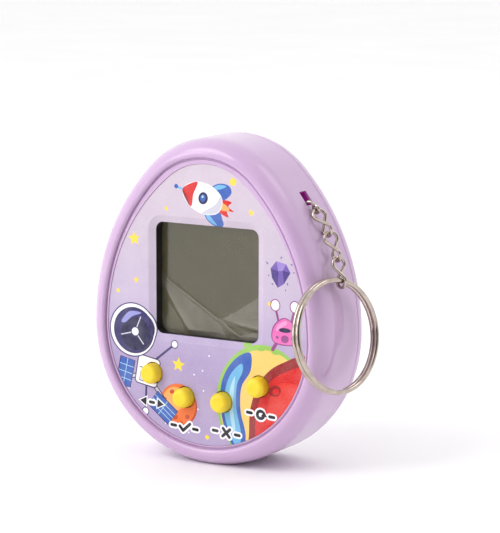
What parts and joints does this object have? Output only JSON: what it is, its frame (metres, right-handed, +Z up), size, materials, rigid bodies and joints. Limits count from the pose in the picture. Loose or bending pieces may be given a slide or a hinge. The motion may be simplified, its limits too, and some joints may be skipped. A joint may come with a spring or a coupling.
{
  "type": "virtual pet keychain",
  "caption": "Egg-shaped handheld virtual pet game with a square LCD, a row of round push buttons on a printed space-themed face, and a short twisted chain with a split key ring.",
  "frame": {"origin": "on the small flat that the egg stands on, at the middle of its width and of the case's depth", "axes": "+Z up, the screen faces -Y, the chain hangs on the +X side"},
  "size_m": [0.0549, 0.0246, 0.06],
  "materials": {
    "case_plastic": "glossy, injection moulded",
    "label_print": "printed matt film with a fine grain",
    "black_plastic": "satin",
    "clear_film": "thin clear film",
    "lcd_glass": "clear glass",
    "polariser": "grey-green sheet",
    "reflector": "olive-grey sheet",
    "elastomer": "matt",
    "board": "solder-masked laminate",
    "epoxy": "cast",
    "component": "matt",
    "screw_steel": "zinc plated",
    "button_plastic": "satin",
    "keypad_rubber": "matt",
    "carbon": "matt",
    "cell_steel": "brushed",
    "contact_steel": "nickel plated",
    "buzzer_brass": "rolled sheet",
    "buzzer_ceramic": "silvered",
    "wire_red": "insulation",
    "wire_black": "insulation",
    "chain_nickel": "nickel plated wire"
  },
  "bodies": {
    "case": {"front_shell": "case_plastic", "rear_shell": "case_plastic", "face_label": "label_print", "lcd_frame": "black_plastic", "screen_film": "clear_film", "lcd_front_polariser": "polariser", "lcd_front_glass": "lcd_glass", "lcd_rear_glass": "lcd_glass", "lcd_reflector": "reflector", "zebra_strip": "elastomer", "circuit_board": "board", "chip_blob": "epoxy", "board_components": "component", "board_screws": "screw_steel", "case_screws": "screw_steel", "keypad_mat": "keypad_rubber", "carbon_pills": "carbon", "battery_cell_left": "cell_steel", "battery_cell_right": "cell_steel", "positive_contact": "contact_steel", "negative_contact": "contact_steel", "link_contact": "contact_steel", "buzzer_plate": "buzzer_brass", "buzzer_ceramic": "buzzer_ceramic", "buzzer_wire_red": "wire_red", "buzzer_wire_black": "wire_black", "chain_pin": "screw_steel"},
    "select_key": {"button_select": "button_plastic"},
    "decide_key": {"button_decide": "button_plastic"},
    "cancel_key": {"button_cancel": "button_plastic"},
    "reset_key": {"button_reset": "button_plastic"},
    "door": {"battery_door": "case_plastic", "battery_door_screw": "screw_steel"},
    "hook": {"chain_hook": "chain_nickel"},
    "link_1": {"chain_link_1": "chain_nickel"},
    "link_2": {"chain_link_2": "chain_nickel"},
    "link_3": {"chain_link_3": "chain_nickel"},
    "ring": {"split_ring": "chain_nickel"}
  },
  "joints": [
    {"name": "select_press", "type": "slide", "parent": "case", "child": "select_key", "axis": [0, 1, 0], "range_m": [0, 0.0007], "stiffness_N_per_m": 800, "deforming": ["keypad_mat"]},
    {"name": "decide_press", "type": "slide", "parent": "case", "child": "decide_key", "axis": [0, 1, 0], "range_m": [0, 0.0007], "stiffness_N_per_m": 800, "deforming": ["keypad_mat"]},
    {"name": "cancel_press", "type": "slide", "parent": "case", "child": "cancel_key", "axis": [0, 1, 0], "range_m": [0, 0.0007], "stiffness_N_per_m": 800, "deforming": ["keypad_mat"]},
    {"name": "reset_press", "type": "slide", "parent": "case", "child": "reset_key", "axis": [0, 1, 0], "range_m": [0, 0.0007], "stiffness_N_per_m": 800, "deforming": ["keypad_mat"]},
    {"name": "door_off", "type": "slide", "parent": "case", "child": "door", "axis": [0, 1, 0], "range_m": [0, 0.03]},
    {"name": "hook_swing", "type": "hinge", "parent": "case", "child": "hook", "pos_m": [0.01527, -0.0004, 0.04853], "axis": [0, -1, 0], "range_deg": [0, 40]},
    {"name": "link_1_swing", "type": "hinge", "parent": "hook", "child": "link_1", "pos_m": [0.01971, -0.0012, 0.04743], "axis": [0.7333, -0.4233, 0.5321], "range_deg": [0, 60]},
    {"name": "link_2_swing", "type": "hinge", "parent": "link_1", "child": "link_2", "pos_m": [0.02224, -0.00172, 0.04412], "axis": [-0.5051, -0.8527, -0.1335], "range_deg": [0, 60]},
    {"name": "link_3_swing", "type": "hinge", "parent": "link_2", "child": "link_3", "pos_m": [0.02446, -0.00226, 0.03918], "axis": [0.7603, -0.5129, 0.3986], "range_deg": [0, 60]},
    {"name": "ring_swing", "type": "hinge", "parent": "link_3", "child": "ring", "pos_m": [0.02531, -0.00266, 0.0358], "axis": [-0.3097, -0.9092, 0.2781], "range_deg": [0, 60]}
  ]
}
